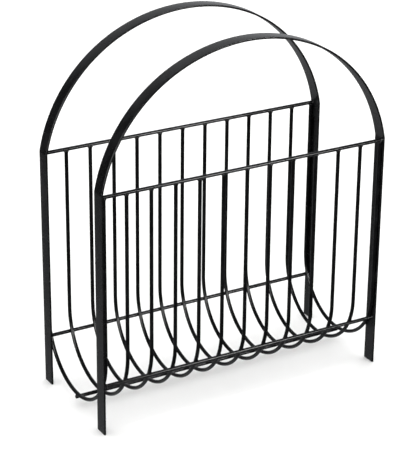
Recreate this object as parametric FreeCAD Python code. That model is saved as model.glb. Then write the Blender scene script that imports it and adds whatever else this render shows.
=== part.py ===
import FreeCAD, Part
import math
import os

# Magazine rack in welded steel: two flat-bar arches carry four wire rails, and thirteen
# U-shaped wire ribs hang between the rails as the basket. Nothing on it moves.
# Millimetres. +Z up, X along the rack, -Y is the front. The origin is on the surface that
# the rack stands on, below its centre.

# ---- driving dimensions -------------------------------------------------------------------
LENGTH = 315.0                 # over the outer faces of the legs, along X
DEPTH = 132.0                  # over the outer edges of the two arches, along Y
HEIGHT = 376.0                 # crown of an arch above the floor
RAIL_TOP_HEIGHT = 249.0        # upper side of the top rails above the floor

BAR_WIDTH = 15.0               # flat bar, laid with its width along Y
BAR_THICKNESS = 2.0
BAR_EDGE_RADIUS = 0.35         # rolled edge of the flat bar

CROWN_RADIUS = 170.0           # outer radius of the middle stretch of an arch
CROWN_HALF_ANGLE = 26.0        # degrees from the centre line to where the haunch begins
SPRING_HEIGHT = 249.5          # height where the line of the haunch meets the leg's outer face
SPRING_BEND_RADIUS = 12.0      # outer radius of the bend from the leg into the haunch

WIRE_DIA = 3.8                 # ribs, rails and keel are one gauge of wire
RIB_COUNT = 13
RIB_PITCH = 26.0               # the end ribs stand closer, against the legs
RIB_HALF_WIDTH = 63.0          # from the centre plane to the centre line of a rib's upright
RIB_BOTTOM = 13.5              # centre line of a rib at its lowest point
LOW_RAIL_HEIGHT = 50.4         # centre line of the low rails

WELD_SET_DOWN = 0.4            # depth that resistance welding sets one wire into the other
RIB_TOP_BEAD_RADIUS = 2.8
CROSSING_BEAD_RADIUS = 2.3
RAIL_END_BEAD_RADIUS = 2.9     # at the leg
RAIL_END_BEAD_NECK = 2.2       # where the bead runs out on the wire
RAIL_END_BEAD_LENGTH = 2.4
END_BEAD_REACH = 1.2           # how far past an end rib's axis its beads reach towards the leg
UPRIGHT_CLEARANCE = 0.2        # between a top rail's end bead and the sides of the end rib below

# ---- worked out from them -----------------------------------------------------------------
WIRE_RADIUS = WIRE_DIA / 2
HALF_LENGTH = LENGTH / 2
INNER_FACE_X = HALF_LENGTH - BAR_THICKNESS
END_RIB_X = INNER_FACE_X - WIRE_RADIUS
TOP_RAIL_Z = RAIL_TOP_HEIGHT - WIRE_RADIUS
RIB_BEND_Z = RIB_BOTTOM + RIB_HALF_WIDTH
CROSSING_GAP = WIRE_DIA - WELD_SET_DOWN
KEEL_Z = RIB_BOTTOM - CROSSING_GAP
LOW_RAIL_Y = math.sqrt((RIB_HALF_WIDTH + CROSSING_GAP) ** 2 - (RIB_BEND_Z - LOW_RAIL_HEIGHT) ** 2)
SIDES = {"front": -1, "back": 1}

X_AXIS = FreeCAD.Vector(1, 0, 0)


def point(x, z, y=0.0):
    """A point in the plane of an arch."""
    return FreeCAD.Vector(x, y, z)


def polar(centre_x, centre_z, radius, angle):
    """The point on a circle at an angle, in radians, measured from straight up towards +X."""
    return point(centre_x + radius * math.sin(angle), centre_z + radius * math.cos(angle))


def arch_profile():
    """Centres, outer radii and end angles of the crown, haunch and spring bend on the +X side."""
    crown_angle = math.radians(CROWN_HALF_ANGLE)
    crown_z = HEIGHT - CROWN_RADIUS
    haunch_start = polar(0, crown_z, CROWN_RADIUS, crown_angle)

    # The haunch is tangent to the crown and passes through the spring point on the leg.
    to_spring_x = HALF_LENGTH - haunch_start.x
    to_spring_z = SPRING_HEIGHT - haunch_start.z
    along_radius = to_spring_x * math.sin(crown_angle) + to_spring_z * math.cos(crown_angle)
    haunch_radius = -(to_spring_x ** 2 + to_spring_z ** 2) / (2 * along_radius)
    haunch_x = haunch_start.x - haunch_radius * math.sin(crown_angle)
    haunch_z = haunch_start.z - haunch_radius * math.cos(crown_angle)

    # The spring bend is tangent to the haunch from inside and to the leg's outer face.
    bend_x = HALF_LENGTH - SPRING_BEND_RADIUS
    between_centres = haunch_radius - SPRING_BEND_RADIUS
    bend_z = haunch_z + math.sqrt(between_centres ** 2 - (bend_x - haunch_x) ** 2)
    bend_angle = math.atan2(bend_x - haunch_x, bend_z - haunch_z)

    return [
        (0.0, crown_z, CROWN_RADIUS, 0.0, crown_angle),
        (haunch_x, haunch_z, haunch_radius, crown_angle, bend_angle),
        (bend_x, bend_z, SPRING_BEND_RADIUS, bend_angle, math.pi / 2),
    ]


def arc_on(centre_x, centre_z, radius, start, end):
    """The edge of one arc, through its middle."""
    middle = (start + end) / 2
    return Part.Arc(
        polar(centre_x, centre_z, radius, start),
        polar(centre_x, centre_z, radius, middle),
        polar(centre_x, centre_z, radius, end),
    ).toShape()


def half_arch_edges(offset):
    """Edges from the crown down the +X side to the foot, moved inwards by offset."""
    edges = []
    for centre_x, centre_z, radius, start, end in arch_profile():
        edges.append(arc_on(centre_x, centre_z, radius - offset, start, end))
    bend_z = arch_profile()[-1][1]
    leg_x = HALF_LENGTH - offset
    edges.append(Part.LineSegment(point(leg_x, bend_z), point(leg_x, 0)).toShape())
    return edges


def mirrored(shape):
    """The same shape on the -X side."""
    return shape.mirror(point(0, 0), X_AXIS)


def arch_frame(side):
    """One flat bar bent into two legs and an arch, with rolled edges."""
    edges = []
    for offset in (0.0, BAR_THICKNESS):
        half = half_arch_edges(offset)
        edges += half + [mirrored(edge) for edge in half]
    for sign in (-1, 1):
        outer_foot = point(sign * HALF_LENGTH, 0)
        inner_foot = point(sign * INNER_FACE_X, 0)
        edges.append(Part.LineSegment(outer_foot, inner_foot).toShape())
    face = Part.Face(Part.Wire(Part.__sortEdges__(edges)))
    bar = face.extrude(FreeCAD.Vector(0, BAR_WIDTH, 0))
    bar = bar.makeFillet(BAR_EDGE_RADIUS, [edge for edge in bar.Edges if is_long_edge(edge)])
    front_edge_y = -DEPTH / 2 if side < 0 else DEPTH / 2 - BAR_WIDTH
    bar.translate(FreeCAD.Vector(0, front_edge_y, 0))
    return bar


def is_long_edge(edge):
    """True for an edge that runs along the bar, not across its width or its foot."""
    box = edge.BoundBox
    runs_across = box.YLength > BAR_WIDTH / 2
    lies_on_floor = box.ZMax < BAR_THICKNESS
    return not (runs_across or lies_on_floor)


def straight_wire(y, z):
    """A wire along X between the legs' inner faces."""
    return Part.makeCylinder(WIRE_RADIUS, 2 * INNER_FACE_X, FreeCAD.Vector(-INNER_FACE_X, y, z), X_AXIS)


def top_rail(side):
    return straight_wire(side * RIB_HALF_WIDTH, TOP_RAIL_Z)


def low_rail(side):
    return straight_wire(side * LOW_RAIL_Y, LOW_RAIL_HEIGHT)


def keel():
    return straight_wire(0, KEEL_Z)


def rib_at_centre(rails):
    """One U-shaped rib in the plane x = 0, let into the rails and the keel where it is welded."""
    top_z = TOP_RAIL_Z - WIRE_RADIUS + WELD_SET_DOWN
    front_top = FreeCAD.Vector(0, -RIB_HALF_WIDTH, top_z)
    front_bend = FreeCAD.Vector(0, -RIB_HALF_WIDTH, RIB_BEND_Z)
    bottom = FreeCAD.Vector(0, 0, RIB_BOTTOM)
    back_bend = FreeCAD.Vector(0, RIB_HALF_WIDTH, RIB_BEND_Z)
    back_top = FreeCAD.Vector(0, RIB_HALF_WIDTH, top_z)
    path = Part.Wire([
        Part.LineSegment(front_top, front_bend).toShape(),
        Part.Arc(front_bend, bottom, back_bend).toShape(),
        Part.LineSegment(back_bend, back_top).toShape(),
    ])
    section = Part.Wire(Part.makeCircle(WIRE_RADIUS, front_top, FreeCAD.Vector(0, 0, 1)))
    rib = path.makePipeShell([section], True, False)
    return rib.cut(rails).Solids[0]


def rib_positions():
    """Places of the ribs along X, from the -X end: even pitch, then one against each leg."""
    middle = (RIB_COUNT + 1) / 2
    places = [(number - middle) * RIB_PITCH for number in range(2, RIB_COUNT)]
    return [-END_RIB_X] + places + [END_RIB_X]


def moved(shape, x):
    """A copy of a shape built at x = 0, moved along the rack."""
    copy = shape.copy()
    copy.translate(FreeCAD.Vector(x, 0, 0))
    return copy


def bead(centre, radius, members):
    """A lump of weld metal about a joint, less the members that it joins."""
    return Part.makeSphere(radius, centre).cut(members).Solids[0]


def beside_legs():
    """Two blocks over the space between the end ribs and the legs, which is too narrow for weld."""
    inner_x = END_RIB_X + END_BEAD_REACH
    width = HALF_LENGTH - inner_x
    blocks = []
    for low_x in (-HALF_LENGTH, inner_x):
        blocks.append(Part.makeBox(width, DEPTH, HEIGHT, FreeCAD.Vector(low_x, -DEPTH / 2, 0)))
    return blocks


def rib_beads(centres, radius, rails, rib):
    """The beads of one kind on every rib. At the end ribs they are open towards the legs."""
    pattern = [bead(centre, radius, rails + [rib]) for centre in centres]
    beads = []
    for x in rib_positions():
        for one in pattern:
            placed = moved(one, x)
            beads.append(placed.cut(beside_legs()).Solids[0] if abs(x) == END_RIB_X else placed)
    return beads


def upright_slot(side):
    """A block over the end ribs' uprights up to the middle of the top rail, a little wider than they are."""
    width = WIRE_DIA + 2 * UPRIGHT_CLEARANCE
    return Part.makeBox(LENGTH, width, TOP_RAIL_Z, FreeCAD.Vector(-HALF_LENGTH, side * RIB_HALF_WIDTH - width / 2, 0))


def rail_end_beads(y, z, members):
    """The fillet welds round both ends of a rail, on the legs' inner faces."""
    beads = []
    for sign in (-1, 1):
        foot = FreeCAD.Vector(sign * INNER_FACE_X, y, z)
        inwards = FreeCAD.Vector(-sign, 0, 0)
        cone = Part.makeCone(RAIL_END_BEAD_RADIUS, RAIL_END_BEAD_NECK, RAIL_END_BEAD_LENGTH, foot, inwards)
        beads.append(max(cone.cut(members).Solids, key=lambda solid: solid.Volume))
    return beads


def build():
    """Every node of the rack, by name."""
    nodes = {}
    for name, side in SIDES.items():
        nodes["arch_frame_" + name] = arch_frame(side)
        nodes["top_rail_" + name] = top_rail(side)
        nodes["low_rail_" + name] = low_rail(side)
    nodes["keel_rod"] = keel()
    top_rails = [nodes["top_rail_" + name] for name in SIDES]
    low_rails = [nodes["low_rail_" + name] for name in SIDES]
    rails = top_rails + low_rails + [nodes["keel_rod"]]

    rib = rib_at_centre(rails)
    ribs = [moved(rib, x) for x in rib_positions()]
    for number, placed in enumerate(ribs, start=1):
        nodes["rib_%02d" % number] = placed

    top_joints = []
    crossings = []
    drop = RIB_BEND_Z - LOW_RAIL_HEIGHT
    to_contact = (RIB_HALF_WIDTH + CROSSING_GAP / 2) / (RIB_HALF_WIDTH + CROSSING_GAP)
    for side in SIDES.values():
        top_joints.append(FreeCAD.Vector(0, side * RIB_HALF_WIDTH, TOP_RAIL_Z - WIRE_RADIUS))
        crossings.append(FreeCAD.Vector(0, side * LOW_RAIL_Y * to_contact, RIB_BEND_Z - drop * to_contact))
    keel_joint = FreeCAD.Vector(0, 0, (RIB_BOTTOM + KEEL_Z) / 2)

    top_beads = rib_beads(top_joints, RIB_TOP_BEAD_RADIUS, rails, rib)
    low_beads = rib_beads(crossings, CROSSING_BEAD_RADIUS, rails, rib)
    keel_beads = rib_beads([keel_joint], CROSSING_BEAD_RADIUS, rails, rib)

    top_end_beads = []
    low_end_beads = []
    for side in SIDES.values():
        above = rails + [upright_slot(side)] + top_beads
        beside = rails + [ribs[0], ribs[-1]] + low_beads
        top_end_beads += rail_end_beads(side * RIB_HALF_WIDTH, TOP_RAIL_Z, above)
        low_end_beads += rail_end_beads(side * LOW_RAIL_Y, LOW_RAIL_HEIGHT, beside)

    nodes["rib_top_welds"] = Part.makeCompound(top_beads)
    nodes["rib_low_rail_welds"] = Part.makeCompound(low_beads)
    nodes["keel_welds"] = Part.makeCompound(keel_beads)
    nodes["top_rail_end_welds"] = Part.makeCompound(top_end_beads)
    nodes["low_rail_end_welds"] = Part.makeCompound(low_end_beads)
    return nodes


os.makedirs("parts", exist_ok=True)
for node_name, node_shape in build().items():
    node_shape.exportStep("parts/" + node_name + ".step")
    print(node_name, len(node_shape.Solids), "solids", round(node_shape.Volume, 1), "mm3", node_shape.isValid())
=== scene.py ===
"""Looks of a welded wire magazine rack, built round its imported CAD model.

Two flat-bar arches, five straight wires, thirteen U-shaped ribs and the weld beads between
them, all under one satin black powder coat. Everything is in metres in the CAD model's frame:
+Z up, X along the rack and -Y at its front.
"""

import logging
import math
from dataclasses import dataclass, field
from enum import Enum
from typing import Any

import bpy
from mathutils import Matrix, Vector


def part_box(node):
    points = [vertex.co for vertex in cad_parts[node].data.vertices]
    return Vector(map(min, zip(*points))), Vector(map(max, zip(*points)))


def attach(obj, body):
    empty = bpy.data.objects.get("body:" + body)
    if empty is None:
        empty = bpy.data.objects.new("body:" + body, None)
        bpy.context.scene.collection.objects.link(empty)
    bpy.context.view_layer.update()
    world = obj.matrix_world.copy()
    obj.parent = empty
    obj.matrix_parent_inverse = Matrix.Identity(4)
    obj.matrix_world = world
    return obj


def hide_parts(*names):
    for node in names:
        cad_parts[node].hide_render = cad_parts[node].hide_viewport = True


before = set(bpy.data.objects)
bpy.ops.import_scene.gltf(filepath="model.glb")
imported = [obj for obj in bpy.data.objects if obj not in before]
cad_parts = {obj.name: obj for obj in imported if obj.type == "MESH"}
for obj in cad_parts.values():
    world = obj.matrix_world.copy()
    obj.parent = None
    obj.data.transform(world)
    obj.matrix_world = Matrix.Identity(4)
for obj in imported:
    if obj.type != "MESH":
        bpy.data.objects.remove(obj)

LOG = logging.getLogger("magazine_rack")

MM = 0.001
BODY = "root"
SIDES = ("front", "back")
ENDS = (-1, 1)
SHARP_FOLD = math.radians(40)

Colour = tuple[float, float, float, float]


class Slot(Enum):
    """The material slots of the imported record."""

    BAR = "coated_bar"
    WIRE = "coated_wire"
    WELD = "coated_weld"


# ---- small helpers ------------------------------------------------------------------------


def hex_to_linear(code: str) -> Colour:
    """Turn an sRGB hex colour into linear RGBA.

    Args:
        code: A colour such as "#1a1b1c".

    Returns:
        Red, green, blue and an alpha of 1.
    """
    digits = code.lstrip("#")
    channels = []
    for start in (0, 2, 4):
        value = int(digits[start:start + 2], 16) / 255
        channels.append(value / 12.92 if value <= 0.04045 else ((value + 0.055) / 1.055) ** 2.4)
    return (*channels, 1.0)


def add_node(
    tree: bpy.types.NodeTree, kind: str, inputs: dict[str | int, Any] | None = None, **settings: Any
) -> bpy.types.Node:
    """Add one node to a tree, with its settings and its links.

    Args:
        tree: The tree that gets the node.
        kind: The node's type name.
        inputs: A value, or an output socket to link from, for each input named or numbered.
        **settings: The node's own properties.

    Returns:
        The new node.
    """
    node = tree.nodes.new(kind)
    for name, value in settings.items():
        setattr(node, name, value)
    for key, value in (inputs or {}).items():
        if isinstance(value, bpy.types.NodeSocket):
            tree.links.new(value, node.inputs[key])
        else:
            node.inputs[key].default_value = value
    return node


def geometry_tree(name: str, sockets: dict[str, str]) -> tuple[bpy.types.NodeTree, bpy.types.Node]:
    """Start a Geometry Nodes tree with named inputs.

    Args:
        name: Name of the tree.
        sockets: Socket type of each input after the geometry, by the input's name.

    Returns:
        The tree and its group input node.
    """
    tree = bpy.data.node_groups.new(name, "GeometryNodeTree")
    tree.interface.new_socket("Geometry", in_out="INPUT", socket_type="NodeSocketGeometry")
    for socket, kind in sockets.items():
        tree.interface.new_socket(socket, in_out="INPUT", socket_type=kind)
    tree.interface.new_socket("Geometry", in_out="OUTPUT", socket_type="NodeSocketGeometry")
    return tree, tree.nodes.new("NodeGroupInput")


def end_tree(
    tree: bpy.types.NodeTree, mesh: bpy.types.NodeSocket, material: bpy.types.NodeSocket
) -> None:
    """Close a tree: real geometry, smooth faces with sharp folds kept, and its material.

    Args:
        tree: The tree to close.
        mesh: The finished shape.
        material: The finish to set on it.
    """
    fold = add_node(tree, "GeometryNodeInputMeshEdgeAngle").outputs["Unsigned Angle"]
    sharp = add_node(
        tree, "FunctionNodeCompare", {0: fold, 1: SHARP_FOLD}, operation="GREATER_THAN"
    )
    real = add_node(tree, "GeometryNodeRealizeInstances", {"Geometry": mesh})
    smooth = add_node(tree, "GeometryNodeSetShadeSmooth", {"Geometry": real.outputs[0]})
    edged = add_node(
        tree, "GeometryNodeSetShadeSmooth",
        {"Geometry": smooth.outputs[0], "Selection": sharp.outputs[0], "Shade Smooth": False},
        domain="EDGE",
    )
    dressed = add_node(
        tree, "GeometryNodeSetMaterial", {"Geometry": edged.outputs[0], "Material": material}
    )
    add_node(tree, "NodeGroupOutput", {0: dressed.outputs[0]})


def mesh_from_tree(
    name: str, points: list[Vector], tree: bpy.types.NodeTree, values: dict[str, Any],
    joined: bool = True, attributes: dict[str, list[float]] | None = None,
) -> bpy.types.Object:
    """Run a Geometry Nodes tree on a line or a set of points, and keep the result as plain mesh.

    Args:
        name: Name of the finished piece.
        points: The points that the tree starts from.
        tree: The tree to run.
        values: A value for each of the tree's named inputs.
        joined: Whether the points are one line, in order, or stand alone.
        attributes: Further numbers on the points, by attribute name.

    Returns:
        The finished piece's object, at the origin.
    """
    edges = [(i, i + 1) for i in range(len(points) - 1)] if joined else []
    seed_mesh = bpy.data.meshes.new(name + "_seed")
    seed_mesh.from_pydata(points, edges, [])
    for attribute, numbers in (attributes or {}).items():
        layer = seed_mesh.attributes.new(attribute, "FLOAT", "POINT")
        layer.data.foreach_set("value", numbers)
    seed = bpy.data.objects.new(name + "_seed", seed_mesh)
    bpy.context.scene.collection.objects.link(seed)

    modifier = seed.modifiers.new(tree.name, "NODES")
    modifier.node_group = tree
    for item in tree.interface.items_tree:
        if item.item_type == "SOCKET" and item.in_out == "INPUT" and item.name in values:
            modifier[item.identifier] = values[item.name]
    evaluated = seed.evaluated_get(bpy.context.evaluated_depsgraph_get())
    mesh = bpy.data.meshes.new_from_object(evaluated)
    seed.modifiers.remove(modifier)
    bpy.data.objects.remove(seed)
    bpy.data.meshes.remove(seed_mesh)

    mesh.name = name
    piece = bpy.data.objects.new(name, mesh)
    bpy.context.scene.collection.objects.link(piece)
    return piece


def hand_over(piece: bpy.types.Object, nodes: list[str]) -> None:
    """Fix a finished piece to the rack's body, in place of the CAD nodes it stands for.

    Args:
        piece: The finished piece.
        nodes: The CAD nodes that it replaces.
    """
    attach(piece, BODY)
    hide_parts(*nodes)
    LOG.info("%s: %d faces, for %s", piece.name, len(piece.data.polygons), ", ".join(nodes))


def middle_of(node: str) -> Vector:
    """The middle of a CAD node's box."""
    low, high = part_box(node)
    return (low + high) / 2


# ---- finishes -----------------------------------------------------------------------------


@dataclass(frozen=True)
class PowderCoat:
    """Satin black polyester powder coat on mild steel.

    The powder melts and levels in the oven but keeps a faint orange peel. The eye sees an even
    black with soft, slightly broken highlights. The colour drifts greyer in broad random patches,
    and on the bars a greyer line is painted along the rolled edges: thin coat there, lightened
    into a painted highlight.
    """

    name: str
    coat_hex: str = "#0d0d0e"
    # Lighter colour for thin coat in random patches; on the bars it also paints the highlight along
    # the rolled edges.
    thin_coat_and_edge_highlight_hex: str = "#242527"
    roughness: float = 0.27
    roughness_swing: float = 0.04
    specular: float = 0.5
    peel_pitch: float = 1.6 * MM
    peel_depth: float = 0.012 * MM
    peel_detail: float = 2.0
    patch_pitch: float = 22.0 * MM
    patch_detail: float = 3.0
    patch_limits: tuple[float, float] = (0.3, 0.7)
    drift_limits: tuple[float, float] = (0.45, 0.75)
    drift_share: float = 0.5

    def material(self) -> bpy.types.Material:
        """Build the coat's material.

        Returns:
            The material, ready for a piece.
        """
        made = bpy.data.materials.new(self.name)
        made.use_nodes = True
        tree = made.node_tree
        tree.nodes.clear()
        place = add_node(tree, "ShaderNodeTexCoord").outputs["Object"]
        patches = self.noise(tree, place, self.patch_pitch, self.patch_detail)
        peel = self.noise(tree, place, self.peel_pitch, self.peel_detail)

        shine = add_node(tree, "ShaderNodeMapRange", {
            "Value": patches,
            "From Min": self.patch_limits[0],
            "From Max": self.patch_limits[1],
            "To Min": self.roughness - self.roughness_swing,
            "To Max": self.roughness + self.roughness_swing,
        }).outputs["Result"]
        relief = self.relief(tree, place, peel)
        bump = add_node(tree, "ShaderNodeBump", {"Height": relief, "Distance": self.peel_depth})
        coat = self.coat_colour(tree, place, patches)
        shader = add_node(tree, "ShaderNodeBsdfPrincipled", {
            "Base Color": coat,
            "Roughness": shine,
            "Normal": bump.outputs["Normal"],
            "Specular IOR Level": self.specular,
        })
        self.wear(tree, place, shader)
        add_node(tree, "ShaderNodeOutputMaterial", {"Surface": shader.outputs["BSDF"]})
        return made

    def noise(
        self, tree: bpy.types.NodeTree, place: bpy.types.NodeSocket, pitch: float, detail: float
    ) -> bpy.types.NodeSocket:
        """Noise from 0 to 1 whose lumps are one pitch across, in metres."""
        settings = {"Vector": place, "Scale": 1 / pitch, "Detail": detail}
        return add_node(tree, "ShaderNodeTexNoise", settings).outputs["Fac"]

    def thinness_and_edge_highlight(
        self, tree: bpy.types.NodeTree, place: bpy.types.NodeSocket, patches: bpy.types.NodeSocket
    ) -> bpy.types.NodeSocket:
        """How thin the coat lies, from 0 to 1: on plain wire it only drifts a little."""
        return add_node(tree, "ShaderNodeMapRange", {
            "Value": patches,
            "From Min": self.drift_limits[0],
            "From Max": self.drift_limits[1],
            "To Min": 0.0,
            "To Max": self.drift_share,
        }).outputs["Result"]

    def relief(
        self, tree: bpy.types.NodeTree, place: bpy.types.NodeSocket, peel: bpy.types.NodeSocket
    ) -> bpy.types.NodeSocket:
        """The height of the coat's surface, in peel depths."""
        return peel

    def coat_colour(
        self, tree: bpy.types.NodeTree, place: bpy.types.NodeSocket, patches: bpy.types.NodeSocket
    ) -> bpy.types.NodeSocket:
        """The coat's colour, greyer where it lies thin, and on the bars lighter along the rolled
        edges as a painted highlight.

        Args:
            tree: The coat's tree.
            place: Object coordinates.
            patches: Noise in broad patches, from 0 to 1.

        Returns:
            The colour.
        """
        mixed = add_node(tree, "ShaderNodeMix", {
            "Factor": self.thinness_and_edge_highlight(tree, place, patches),
            6: hex_to_linear(self.coat_hex),
            7: hex_to_linear(self.thin_coat_and_edge_highlight_hex),
        }, data_type="RGBA")
        return mixed.outputs[2]

    def wear(
        self, tree: bpy.types.NodeTree, place: bpy.types.NodeSocket, shader: bpy.types.Node
    ) -> None:
        """Wear on the coat: none, except where a kind of coat says otherwise."""


@dataclass(frozen=True)
class BarCoat(PowderCoat):
    """The same coat on rolled flat bar, thin along both rolled edges and scuffed at the feet.

    The edge line is thin coat lightened into a painted highlight along each rolled corner: it is
    what makes a thin black bar read as metal. The scuffed bar ends show grey steel through the
    coat where the rack is dragged across a floor.
    """

    specular: float = 0.6
    steel_hex: str = "#7d7f82"
    steel_roughness: float = 0.45
    bar_middle: float = 0.0
    bar_half_width: float = 0.0
    # Width of the painted highlight line along each rolled edge.
    edge_highlight_width: float = 0.3 * MM
    line_pitch: float = 1.3 * MM
    line_length: float = 70.0 * MM
    line_share: float = 1.4
    line_detail: float = 3.0
    scuff_height: float = 1.1 * MM
    scuff_pitch: float = 2.6 * MM
    scuff_detail: float = 4.0
    scuff_limits: tuple[float, float] = (0.28, 0.36)

    def thinness_and_edge_highlight(
        self, tree: bpy.types.NodeTree, place: bpy.types.NodeSocket, patches: bpy.types.NodeSocket
    ) -> bpy.types.NodeSocket:
        """Thin coat and a painted highlight round the bar's corners, which run at a fixed distance
        from its middle in Y.

        Args:
            tree: The coat's tree.
            place: Object coordinates.
            patches: Noise in broad patches, from 0 to 1.

        Returns:
            How thin the coat lies, with the painted edge highlight, from 0 to 1.
        """
        drift = super().thinness_and_edge_highlight(tree, place, patches)
        across = add_node(tree, "ShaderNodeSeparateXYZ", {0: place}).outputs["Y"]
        from_centre = add_node(tree, "ShaderNodeMath", {0: across}, operation="ABSOLUTE")
        off = add_node(
            tree, "ShaderNodeMath", {0: from_centre.outputs[0], 1: self.bar_middle},
            operation="SUBTRACT",
        )
        from_middle = add_node(tree, "ShaderNodeMath", {0: off.outputs[0]}, operation="ABSOLUTE")
        # Painted highlight: the coat is lightened in a thin line along each rolled edge, for thin
        # coat there and for the highlight the rounded corner catches.
        highlight_place = self.bar_half_width - self.edge_highlight_width
        past_highlight = add_node(
            tree, "ShaderNodeMath", {0: from_middle.outputs[0], 1: highlight_place},
            operation="SUBTRACT",
        )
        from_highlight = add_node(
            tree, "ShaderNodeMath", {0: past_highlight.outputs[0]}, operation="ABSOLUTE"
        )
        edge_highlight = add_node(tree, "ShaderNodeMapRange", {
            "Value": from_highlight.outputs[0],
            "From Min": 0.0,
            "From Max": self.edge_highlight_width,
            "To Min": 1.0,
            "To Max": 0.0,
        }, interpolation_type="SMOOTHSTEP")
        total = add_node(
            tree, "ShaderNodeMath", {0: drift, 1: edge_highlight.outputs["Result"]}, operation="MAXIMUM"
        )
        return total.outputs[0]

    def rolling_lines(
        self, tree: bpy.types.NodeTree, place: bpy.types.NodeSocket
    ) -> bpy.types.NodeSocket:
        """Faint lines that the rolls leave along the bar, from 0 to 1.

        The bar keeps to one plane, so a pattern that is fine in Y and long in X and Z follows it
        all round. The real lines are finer than this and would not show.

        Args:
            tree: The coat's tree.
            place: Object coordinates.

        Returns:
            The lines' height.
        """
        stretch = add_node(tree, "ShaderNodeMapping", {
            "Vector": place,
            "Scale": (1 / self.line_length, 1 / self.line_pitch, 1 / self.line_length),
        })
        return add_node(tree, "ShaderNodeTexNoise", {
            "Vector": stretch.outputs[0],
            "Scale": 1.0,
            "Detail": self.line_detail,
        }).outputs["Fac"]

    def relief(
        self, tree: bpy.types.NodeTree, place: bpy.types.NodeSocket, peel: bpy.types.NodeSocket
    ) -> bpy.types.NodeSocket:
        """The orange peel over the rolling lines, in peel depths."""
        lines = self.rolling_lines(tree, place)
        return add_node(
            tree, "ShaderNodeMath", {0: lines, 1: self.line_share, 2: peel},
            operation="MULTIPLY_ADD",
        ).outputs[0]

    def wear(
        self, tree: bpy.types.NodeTree, place: bpy.types.NodeSocket, shader: bpy.types.Node
    ) -> None:
        """Scuff the coat through to steel in patches on the lowest stretch of each leg.

        Args:
            tree: The coat's tree.
            place: Object coordinates.
            shader: The coat's shader, whose inputs turn to steel where it is scuffed.
        """
        height = add_node(tree, "ShaderNodeSeparateXYZ", {0: place}).outputs["Z"]
        low = add_node(tree, "ShaderNodeMapRange", {
            "Value": height,
            "From Min": 0.0,
            "From Max": self.scuff_height,
            "To Min": 1.0,
            "To Max": 0.0,
        }).outputs["Result"]
        lumps = self.noise(tree, place, self.scuff_pitch, self.scuff_detail)
        patches = add_node(tree, "ShaderNodeMath", {0: low, 1: lumps}, operation="MULTIPLY")
        scuff = add_node(tree, "ShaderNodeMapRange", {
            "Value": patches.outputs[0],
            "From Min": self.scuff_limits[0],
            "From Max": self.scuff_limits[1],
        }).outputs["Result"]
        for socket, steel in (("Roughness", self.steel_roughness), ("Metallic", 1.0)):
            links = shader.inputs[socket].links
            source = links[0].from_socket if links else 0.0
            mixed = add_node(tree, "ShaderNodeMix", {0: scuff, 2: source, 3: steel})
            tree.links.new(mixed.outputs[0], shader.inputs[socket])
        coat = shader.inputs["Base Color"].links[0].from_socket
        steel_colour = hex_to_linear(self.steel_hex)
        mixed = add_node(
            tree, "ShaderNodeMix", {0: scuff, 6: coat, 7: steel_colour}, data_type="RGBA"
        )
        tree.links.new(mixed.outputs[2], shader.inputs["Base Color"])


@dataclass(frozen=True)
class MattSheet:
    """Matt white studio sheet for the floor: paper with a barely visible tooth."""

    name: str = "matt white paper sheet"
    paper_hex: str = "#f4f4f3"
    shade_hex: str = "#efefee"
    tooth_pitch: float = 90.0 * MM
    roughness: float = 0.95
    specular: float = 0.1

    def material(self) -> bpy.types.Material:
        """Build the sheet's material.

        Returns:
            The material, ready for the floor.
        """
        made = bpy.data.materials.new(self.name)
        made.use_nodes = True
        tree = made.node_tree
        tree.nodes.clear()
        place = add_node(tree, "ShaderNodeTexCoord").outputs["Object"]
        tooth = add_node(tree, "ShaderNodeTexNoise", {
            "Vector": place,
            "Scale": 1 / self.tooth_pitch,
        })
        mixed = add_node(tree, "ShaderNodeMix", {
            "Factor": tooth.outputs["Fac"],
            6: hex_to_linear(self.paper_hex),
            7: hex_to_linear(self.shade_hex),
        }, data_type="RGBA")
        shader = add_node(tree, "ShaderNodeBsdfPrincipled", {
            "Base Color": mixed.outputs[2],
            "Roughness": self.roughness,
            "Specular IOR Level": self.specular,
        })
        add_node(tree, "ShaderNodeOutputMaterial", {"Surface": shader.outputs["BSDF"]})
        return made


# ---- sub-assemblies -----------------------------------------------------------------------


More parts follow.
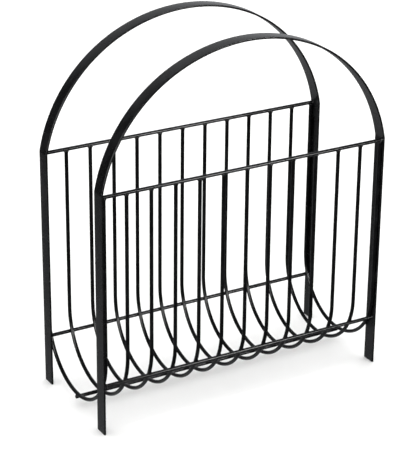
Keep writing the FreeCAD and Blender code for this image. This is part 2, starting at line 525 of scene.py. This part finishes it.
@dataclass
class ArchFrames:
    """The two flat bars, each bent the easy way into a pair of legs and a three-centred arch.

    The crown and the two haunches are arcs. The haunch meets each leg at the spring point, in
    a short tight bend that shows as a slight corner.
    """

    crown_radius: float = 170.0 * MM
    crown_half_angle: float = math.radians(26.0)
    spring_height: float = 249.5 * MM
    spring_bend_radius: float = 12.0 * MM
    bar_thickness: float = 2.0 * MM
    rolled_edge_radius: float = 0.55 * MM
    rolled_edge_steps: int = 6
    arc_step: float = math.radians(1.25)
    fewest_arc_steps: int = 3
    cut_end_bevel: float = 0.18 * MM
    cut_end_segments: int = 2
    cut_end_fold: float = math.radians(60)
    half_length: float = field(init=False)
    height: float = field(init=False)
    bar_width: float = field(init=False)

    def __post_init__(self) -> None:
        """Read the overall sizes from the frame."""
        low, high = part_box("arch_frame_front")
        self.half_length = (high.x - low.x) / 2
        self.height = high.z
        self.bar_width = high.y - low.y

    def coat(self) -> BarCoat:
        """The bars' finish, told where the rolled edges run."""
        return BarCoat(
            "powder-coated rolled flat bar",
            bar_middle=abs(middle_of("arch_frame_front").y),
            bar_half_width=self.bar_width / 2,
        )

    def arcs(self) -> list[tuple[float, float, float, float, float]]:
        """Work out the arcs from the crown to a leg, each touching the next.

        Returns:
            Each arc's centre x and z, outer radius, and start and end angle from upright.
        """
        crown_z = self.height - self.crown_radius
        angle = self.crown_half_angle
        start_x = self.crown_radius * math.sin(angle)
        start_z = crown_z + self.crown_radius * math.cos(angle)
        to_spring_x = self.half_length - start_x
        to_spring_z = self.spring_height - start_z
        along = to_spring_x * math.sin(angle) + to_spring_z * math.cos(angle)
        haunch_radius = -(to_spring_x ** 2 + to_spring_z ** 2) / (2 * along)
        haunch_x = start_x - haunch_radius * math.sin(angle)
        haunch_z = start_z - haunch_radius * math.cos(angle)

        bend_x = self.half_length - self.spring_bend_radius
        between = haunch_radius - self.spring_bend_radius
        bend_z = haunch_z + math.sqrt(between ** 2 - (bend_x - haunch_x) ** 2)
        bend_angle = math.atan2(bend_x - haunch_x, bend_z - haunch_z)
        return [
            (0.0, crown_z, self.crown_radius, 0.0, angle),
            (haunch_x, haunch_z, haunch_radius, angle, bend_angle),
            (bend_x, bend_z, self.spring_bend_radius, bend_angle, math.pi / 2),
        ]

    def centre_line(self, y: float) -> list[Vector]:
        """The line through the middle of the bar's thickness, from one foot to the other.

        Args:
            y: Where the bar's middle lies across the rack.

        Returns:
            Points along the line.
        """
        half = []
        for centre_x, centre_z, outer_radius, start, end in self.arcs():
            radius = outer_radius - self.bar_thickness / 2
            steps = max(self.fewest_arc_steps, round((end - start) / self.arc_step))
            for step in range(1, steps + 1):
                angle = start + (end - start) * step / steps
                x = centre_x + radius * math.sin(angle)
                z = centre_z + radius * math.cos(angle)
                half.append(Vector((x, y, z)))
        half.append(Vector((self.half_length - self.bar_thickness / 2, y, 0.0)))
        crown = Vector((0.0, y, self.height - self.bar_thickness / 2))
        mirrored = [Vector((-point.x, point.y, point.z)) for point in reversed(half)]
        return mirrored + [crown] + half

    def tree(self) -> bpy.types.NodeTree:
        """Make the tree that sweeps a bar's section, with rolled edges, along its centre line.

        Returns:
            The tree.
        """
        tree, given = geometry_tree("flat bar", {
            "Bar Width": "NodeSocketFloat",
            "Bar Thickness": "NodeSocketFloat",
            "Rolled Edge Radius": "NodeSocketFloat",
            "Rolled Edge Steps": "NodeSocketInt",
            "Material": "NodeSocketMaterial",
        })
        line = add_node(tree, "GeometryNodeMeshToCurve", {"Mesh": given.outputs["Geometry"]})
        facing = add_node(
            tree, "GeometryNodeSetCurveNormal", {"Curve": line.outputs[0], "Normal": (0, 1, 0)},
            mode="FREE",
        )
        section = add_node(tree, "GeometryNodeCurvePrimitiveQuadrilateral", {
            "Width": given.outputs["Bar Width"],
            "Height": given.outputs["Bar Thickness"],
        })
        rolled = add_node(tree, "GeometryNodeFilletCurve", {
            "Curve": section.outputs[0],
            "Count": given.outputs["Rolled Edge Steps"],
            "Radius": given.outputs["Rolled Edge Radius"],
        }, mode="POLY")
        bar = add_node(tree, "GeometryNodeCurveToMesh", {
            "Curve": facing.outputs[0],
            "Profile Curve": rolled.outputs[0],
            "Fill Caps": True,
        })
        end_tree(tree, bar.outputs[0], given.outputs["Material"])
        return tree

    def build(self) -> None:
        """Make both bars."""
        tree = self.tree()
        material = self.coat().material()
        for side in SIDES:
            node = "arch_frame_" + side
            line = self.centre_line(middle_of(node).y)
            piece = mesh_from_tree("flat_bar_arch_" + side, line, tree, {
                "Bar Width": self.bar_width,
                "Bar Thickness": self.bar_thickness,
                "Rolled Edge Radius": self.rolled_edge_radius,
                "Rolled Edge Steps": self.rolled_edge_steps,
                "Material": material,
            })
            bevel = piece.modifiers.new("cut end", "BEVEL")
            bevel.width = self.cut_end_bevel
            bevel.segments = self.cut_end_segments
            bevel.limit_method = "ANGLE"
            bevel.angle_limit = self.cut_end_fold
            hand_over(piece, [node])


@dataclass
class WireWork:
    """The rails, the keel rod and the ribs: one gauge of drawn wire, straight or bent once."""

    sides_of_wire: int = 28
    bend_steps: int = 30
    seat_in_bar: float = 0.4 * MM
    cut_end_length: float = 0.35 * MM
    cut_end_girth: float = 0.82
    merge_distance: float = 0.005 * MM
    wire_radius: float = field(init=False)
    top_rail_z: float = field(init=False)

    def __post_init__(self) -> None:
        """Read the gauge and the rails' height from the frame."""
        low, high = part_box("top_rail_front")
        self.wire_radius = (high.y - low.y) / 2
        self.top_rail_z = middle_of("top_rail_front").z

    def coat(self) -> PowderCoat:
        """The wires' finish."""
        return PowderCoat(
            "powder-coated drawn wire",
            roughness=0.18,
            roughness_swing=0.04,
            specular=0.45,
            peel_depth=0.02 * MM,
        )

    def tree(self) -> bpy.types.NodeTree:
        """Make the tree that rounds a line's corners and sweeps a round wire along it.

        Returns:
            The tree.
        """
        tree, given = geometry_tree("bent wire", {
            "Wire Radius": "NodeSocketFloat",
            "Wire Sides": "NodeSocketInt",
            "Bend Radius": "NodeSocketFloat",
            "Bend Steps": "NodeSocketInt",
            "Material": "NodeSocketMaterial",
        })
        line = add_node(tree, "GeometryNodeMeshToCurve", {"Mesh": given.outputs["Geometry"]})
        bent = add_node(tree, "GeometryNodeFilletCurve", {
            "Curve": line.outputs[0],
            "Count": given.outputs["Bend Steps"],
            "Radius": given.outputs["Bend Radius"],
            "Limit Radius": True,
        }, mode="POLY")
        section = add_node(tree, "GeometryNodeCurvePrimitiveCircle", {
            "Resolution": given.outputs["Wire Sides"],
            "Radius": given.outputs["Wire Radius"],
        })
        girth = add_node(
            tree, "GeometryNodeInputNamedAttribute", {"Name": "girth"}, data_type="FLOAT"
        )
        wire = add_node(tree, "GeometryNodeCurveToMesh", {
            "Curve": bent.outputs[0],
            "Profile Curve": section.outputs[0],
            "Scale": girth.outputs[0],
            "Fill Caps": True,
        })
        merged = add_node(tree, "GeometryNodeMergeByDistance", {
            "Geometry": wire.outputs[0],
            "Distance": self.merge_distance,
        })
        end_tree(tree, merged.outputs[0], given.outputs["Material"])
        return tree

    def straight_line(self, node: str, seat: float) -> list[Vector]:
        """A straight wire's line along X, with a point just inside each end for its cut edge.

        Args:
            node: The wire's CAD node.
            seat: How far each end runs on past the node's box, into the bar.

        Returns:
            Four points, from the -X end.
        """
        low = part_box(node)[0]
        middle = middle_of(node)
        places = (low.x - seat, low.x - seat + self.cut_end_length)
        xs = [*places, -places[1], -places[0]]
        return [Vector((x, middle.y, middle.z)) for x in xs]

    def rib_line(self, node: str) -> list[Vector]:
        """A rib's line with square corners, from inside one top rail to inside the other.

        Args:
            node: The rib's CAD node.

        Returns:
            Four points, from the front.
        """
        low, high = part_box(node)
        x = middle_of(node).x
        front_y = low.y + self.wire_radius
        back_y = high.y - self.wire_radius
        bottom_z = low.z + self.wire_radius
        top_z = self.top_rail_z
        corners = ((front_y, top_z), (front_y, bottom_z), (back_y, bottom_z), (back_y, top_z))
        return [Vector((x, y, z)) for y, z in corners]

    def build(self) -> None:
        """Make every wire, each as a piece of its own."""
        tree = self.tree()
        material = self.coat().material()
        cut_ends = [self.cut_end_girth, 1.0, 1.0, self.cut_end_girth]
        sizes = {
            "Wire Radius": self.wire_radius,
            "Wire Sides": self.sides_of_wire,
            "Bend Steps": self.bend_steps,
            "Material": material,
        }
        rails = ["%s_rail_%s" % (level, side) for level in ("top", "low") for side in SIDES]
        for node in rails + ["keel_rod"]:
            seat = 0.0 if node == "keel_rod" else self.seat_in_bar
            line = self.straight_line(node, seat)
            values = {**sizes, "Bend Radius": 0.0}
            girths = {"girth": cut_ends}
            piece = mesh_from_tree(node + "_wire", line, tree, values, attributes=girths)
            hand_over(piece, [node])
        for node in rib_nodes():
            line = self.rib_line(node)
            values = {**sizes, "Bend Radius": line[-1].y}
            girths = {"girth": [1.0] * len(line)}
            piece = mesh_from_tree(node + "_wire", line, tree, values, attributes=girths)
            hand_over(piece, [node])


def rib_nodes() -> list[str]:
    """The CAD nodes of the ribs, from the -X end."""
    return sorted(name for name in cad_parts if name.startswith("rib_") and name[4:].isdigit())


@dataclass(frozen=True)
class Bead:
    """One kind of weld bead: its name, the CAD node it stands for, its half sizes and places."""

    name: str
    node: str
    half_sizes: tuple[float, float, float]
    places: tuple[Vector, ...]


@dataclass
class Welds:
    """Every weld bead of the rack, as lumpy drops of metal under the coat.

    The ribs are resistance-welded, which leaves a small lump at each contact. The rails' ends
    are filled round by hand, which leaves a larger bead against each leg.
    """

    ball_subdivisions: int = 4
    ripple_pitch: float = 1.5 * MM
    ripple_depth: float = 0.22 * MM
    ripple_detail: float = 1.0
    size_spread: float = 0.10
    seed: int = 7
    rib_top_size: tuple[float, float, float] = (2.9 * MM, 2.3 * MM, 2.2 * MM)
    rib_low_rail_size: tuple[float, float, float] = (2.3 * MM, 1.9 * MM, 2.2 * MM)
    keel_size: tuple[float, float, float] = (2.1 * MM, 2.3 * MM, 1.6 * MM)
    top_rail_end_size: tuple[float, float, float] = (1.7 * MM, 2.7 * MM, 2.9 * MM)
    low_rail_end_size: tuple[float, float, float] = (1.7 * MM, 2.9 * MM, 2.9 * MM)

    def coat(self) -> PowderCoat:
        """The beads' finish: the melt pools on them, so they shine more than the wires."""
        return PowderCoat(
            "powder-coated weld bead",
            roughness=0.2,
            roughness_swing=0.03,
            peel_pitch=0.8 * MM,
            peel_depth=0.02 * MM,
        )

    def kinds(self) -> list[Bead]:
        """Work out where each kind of bead sits, from the wires that it joins.

        Returns:
            The five kinds. Their sizes are half sizes, in metres.
        """
        ribs = [middle_of(node).x for node in rib_nodes()]
        low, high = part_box("top_rail_front")
        wire = (high.y - low.y) / 2
        inner_face = high.x
        keel = middle_of("keel_rod")
        rib_low, rib_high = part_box(rib_nodes()[0])
        half_width = rib_high.y - wire
        rib_bottom = rib_low.z + wire
        bend_centre = Vector((0.0, 0.0, rib_bottom + half_width))

        tops, crossings, rail_ends, low_ends = [], [], [], []
        for side in SIDES:
            top = middle_of("top_rail_" + side)
            bottom = middle_of("low_rail_" + side)
            inwards = (bend_centre - Vector((0.0, bottom.y, bottom.z))).normalized()
            contact = Vector((0.0, bottom.y, bottom.z)) + inwards * wire
            tops += [Vector((x, top.y, top.z - wire)) for x in ribs]
            crossings += [Vector((x, contact.y, contact.z)) for x in ribs]
            rail_ends += [Vector((end * inner_face, top.y, top.z)) for end in ENDS]
            low_ends += [Vector((end * inner_face, bottom.y, bottom.z)) for end in ENDS]
        under = [Vector((x, 0.0, (rib_bottom + keel.z) / 2)) for x in ribs]
        kinds = (
            ("rib_top_weld", self.rib_top_size, tops),
            ("rib_low_rail_weld", self.rib_low_rail_size, crossings),
            ("keel_weld", self.keel_size, under),
            ("top_rail_end_weld", self.top_rail_end_size, rail_ends),
            ("low_rail_end_weld", self.low_rail_end_size, low_ends),
        )
        return [
            Bead(name + "_beads", name + "s", half_sizes, tuple(places))
            for name, half_sizes, places in kinds
        ]

    def tree(self) -> bpy.types.NodeTree:
        """Make the tree that sets a lumpy ball on every joint.

        Returns:
            The tree.
        """
        tree, given = geometry_tree("weld beads", {
            "Half Sizes": "NodeSocketVector",
            "Size Spread": "NodeSocketFloat",
            "Ball Subdivisions": "NodeSocketInt",
            "Ripple Pitch": "NodeSocketFloat",
            "Ripple Depth": "NodeSocketFloat",
            "Seed": "NodeSocketInt",
            "Material": "NodeSocketMaterial",
        })
        ball = add_node(
            tree, "GeometryNodeMeshIcoSphere",
            {"Radius": 1.0, "Subdivisions": given.outputs["Ball Subdivisions"]},
        )
        smallest = add_node(
            tree, "ShaderNodeMath", {0: 1.0, 1: given.outputs["Size Spread"]}, operation="SUBTRACT"
        )
        swell = add_node(tree, "FunctionNodeRandomValue", {
            2: smallest.outputs[0],
            3: 1.0,
            "Seed": given.outputs["Seed"],
        }, data_type="FLOAT")
        scaled = add_node(
            tree, "ShaderNodeVectorMath",
            {0: given.outputs["Half Sizes"], "Scale": swell.outputs[1]}, operation="SCALE",
        )
        placed = add_node(tree, "GeometryNodeInstanceOnPoints", {
            "Points": given.outputs["Geometry"],
            "Instance": ball.outputs["Mesh"],
            "Scale": scaled.outputs[0],
        })
        real = add_node(tree, "GeometryNodeRealizeInstances", {"Geometry": placed.outputs[0]})
        place = add_node(tree, "GeometryNodeInputPosition").outputs[0]
        fineness = add_node(
            tree, "ShaderNodeMath", {0: 1.0, 1: given.outputs["Ripple Pitch"]}, operation="DIVIDE"
        )
        lumps = add_node(tree, "ShaderNodeTexNoise", {
            "Vector": place,
            "Scale": fineness.outputs[0],
            "Detail": self.ripple_detail,
        })
        depth = add_node(tree, "ShaderNodeMath", {
            0: lumps.outputs["Fac"],
            1: given.outputs["Ripple Depth"],
        }, operation="MULTIPLY")
        facing = add_node(tree, "GeometryNodeInputNormal").outputs[0]
        sunk = add_node(
            tree, "ShaderNodeMath", {0: depth.outputs[0], 1: -1.0}, operation="MULTIPLY"
        )
        offset = add_node(
            tree, "ShaderNodeVectorMath", {0: facing, "Scale": sunk.outputs[0]}, operation="SCALE"
        )
        rippled = add_node(tree, "GeometryNodeSetPosition", {
            "Geometry": real.outputs[0],
            "Offset": offset.outputs[0],
        })
        end_tree(tree, rippled.outputs[0], given.outputs["Material"])
        return tree

    def build(self) -> None:
        """Make each kind of bead as one piece."""
        tree = self.tree()
        material = self.coat().material()
        for number, bead in enumerate(self.kinds()):
            piece = mesh_from_tree(bead.name, list(bead.places), tree, {
                "Half Sizes": bead.half_sizes,
                "Size Spread": self.size_spread,
                "Ball Subdivisions": self.ball_subdivisions,
                "Ripple Pitch": self.ripple_pitch,
                "Ripple Depth": self.ripple_depth,
                "Seed": self.seed + number,
                "Material": material,
            }, joined=False)
            hand_over(piece, [bead.node])


# ---- stage --------------------------------------------------------------------------------


@dataclass(frozen=True)
class Softbox:
    """One studio light, aimed at the rack.

    A fill lights the floor and the rack without showing as a reflection in the coat. Any other
    softbox does the reverse, so that the floor stays evenly pale. Real lamps do both at once.
    """

    name: str
    heading: tuple[float, float, float]
    distance: float
    width: float
    depth: float
    radiance: float
    is_fill: bool = False

    def build(self, aim: Vector) -> None:
        """Hang the light and turn it to its aim.

        Args:
            aim: The point that the light faces.
        """
        data = bpy.data.lights.new(self.name, "AREA")
        data.shape = "RECTANGLE"
        data.size = self.width
        data.size_y = self.depth
        data.energy = self.radiance * math.pi * self.width * self.depth
        light = bpy.data.objects.new(self.name, data)
        bpy.context.scene.collection.objects.link(light)
        light.location = aim + Vector(self.heading).normalized() * self.distance
        light.rotation_euler = (aim - light.location).to_track_quat("-Z", "Y").to_euler()
        light.visible_glossy = not self.is_fill
        light.visible_diffuse = self.is_fill


@dataclass(frozen=True)
class Glow:
    """A soft round glow on the room's walls, round one heading."""

    heading: tuple[float, float, float]
    edge: float
    radiance: float

    def added_to(
        self, tree: bpy.types.NodeTree, heading: bpy.types.NodeSocket,
        below: float | bpy.types.NodeSocket,
    ) -> bpy.types.NodeSocket:
        """Add this glow to a tree.

        Args:
            tree: The room's tree.
            heading: The direction that is looked in.
            below: What glows there already.

        Returns:
            The sum of both.
        """
        towards = add_node(
            tree, "ShaderNodeVectorMath", {0: heading, 1: Vector(self.heading).normalized()},
            operation="DOT_PRODUCT",
        )
        share = add_node(tree, "ShaderNodeMapRange", {
            "Value": towards.outputs["Value"],
            "From Min": self.edge,
            "From Max": 1.0,
        }, interpolation_type="SMOOTHSTEP")
        return add_node(
            tree, "ShaderNodeMath", {0: share.outputs["Result"], 1: self.radiance, 2: below},
            operation="MULTIPLY_ADD",
        ).outputs[0]


@dataclass
class Studio:
    """A pale floor, a pale backdrop, soft light and a camera off the rack's near corner.

    The coat reflects a room that is dark at one side and paler at the other, so that it keeps
    its black and each face still has something to show. The backdrop itself is pale all round.
    """

    floor_half_size: float = 3.5
    surround_hex: str = "#f4f6fa"
    backdrop_glow: float = 1.15
    room_glow: float = 0.03
    glows: tuple[Glow, ...] = (
        Glow((0.5, 0.75, 0.45), 0.5, 0.44),
        Glow((0.25, 0.6, -0.75), 0.58, 0.32),
        Glow((-0.55, 0.45, -0.7), 0.85, 0.36),
        Glow((0.6, 0.79, 0.1), 0.93, 0.24),
    )
    camera_azimuth: float = math.radians(30.314)
    camera_elevation: float = math.radians(23.565)
    camera_roll: float = math.radians(0.651)
    camera_distance: float = 1.8252
    camera_aim_height: float = 0.188
    camera_reach: float = 100.0
    camera_slide: tuple[float, float] = (-0.00539, -0.02348)
    lens: float = 146.56
    softboxes: tuple[Softbox, ...] = (
        Softbox("overhead_fill", (0.0, 0.1, 1.0), 8.0, 24.0, 24.0, 1.95, is_fill=True),
        Softbox("left_softbox", (-0.76, -0.60, 0.25), 2.0, 1.8, 1.0, 5.0),
        Softbox("right_softbox", (0.46, -0.85, 0.25), 2.0, 0.4, 0.4, 28.0),
    )

    def build_floor(self) -> None:
        """Lay the floor under the feet."""
        reach = self.floor_half_size
        corners = [(-reach, -reach, 0), (reach, -reach, 0), (reach, reach, 0), (-reach, reach, 0)]
        mesh = bpy.data.meshes.new("floor")
        mesh.from_pydata(corners, [], [(0, 1, 2, 3)])
        mesh.materials.append(MattSheet().material())
        floor = bpy.data.objects.new("floor", mesh)
        bpy.context.scene.collection.objects.link(floor)
        floor.visible_glossy = False

    def build_surround(self) -> None:
        """Put the reflected room round the rack, and an even pale backdrop in plain sight."""
        world = bpy.data.worlds.new("surround")
        world.use_nodes = True
        tree = world.node_tree
        tree.nodes.clear()
        heading = add_node(tree, "ShaderNodeTexCoord").outputs["Generated"]
        total = self.room_glow
        for glow in self.glows:
            total = glow.added_to(tree, heading, total)
        surround = hex_to_linear(self.surround_hex)
        room = add_node(tree, "ShaderNodeBackground", {"Color": surround, "Strength": total})
        backdrop = add_node(tree, "ShaderNodeBackground", {
            "Color": surround,
            "Strength": self.backdrop_glow,
        })
        in_plain_sight = add_node(tree, "ShaderNodeLightPath").outputs["Is Camera Ray"]
        shown = add_node(tree, "ShaderNodeMixShader", {
            0: in_plain_sight,
            1: room.outputs[0],
            2: backdrop.outputs[0],
        })
        add_node(tree, "ShaderNodeOutputWorld", {"Surface": shown.outputs[0]})
        bpy.context.scene.world = world
        bpy.context.scene.view_settings.view_transform = "Standard"

    def build_camera(self) -> None:
        """Set the camera off the rack's -X end, looking down at it."""
        azimuth, elevation = self.camera_azimuth, self.camera_elevation
        look = Vector((
            math.sin(azimuth) * math.cos(elevation),
            math.cos(azimuth) * math.cos(elevation),
            -math.sin(elevation),
        ))
        turn = look.to_track_quat("-Z", "Y").to_matrix() @ Matrix.Rotation(self.camera_roll, 3, "Z")
        slide = turn @ Vector((*self.camera_slide, 0.0))
        data = bpy.data.cameras.new("camera")
        data.lens = self.lens
        data.clip_end = self.camera_reach
        camera = bpy.data.objects.new("camera", data)
        bpy.context.scene.collection.objects.link(camera)
        aim = Vector((0.0, 0.0, self.camera_aim_height))
        camera.location = aim - look * self.camera_distance + slide
        camera.rotation_euler = turn.to_euler()
        bpy.context.scene.camera = camera

    def build(self) -> None:
        """Set up the whole stage."""
        self.build_floor()
        self.build_surround()
        self.build_camera()
        aim = Vector((0.0, 0.0, self.camera_aim_height))
        for softbox in self.softboxes:
            softbox.build(aim)


# ---- the rack -----------------------------------------------------------------------------


def main() -> None:
    """Build the rack on its frame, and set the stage."""
    logging.basicConfig(level=logging.INFO, format="%(name)s: %(message)s")
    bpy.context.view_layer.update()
    ArchFrames().build()
    WireWork().build()
    Welds().build()
    Studio().build()


if __name__ == "__main__":
    main()
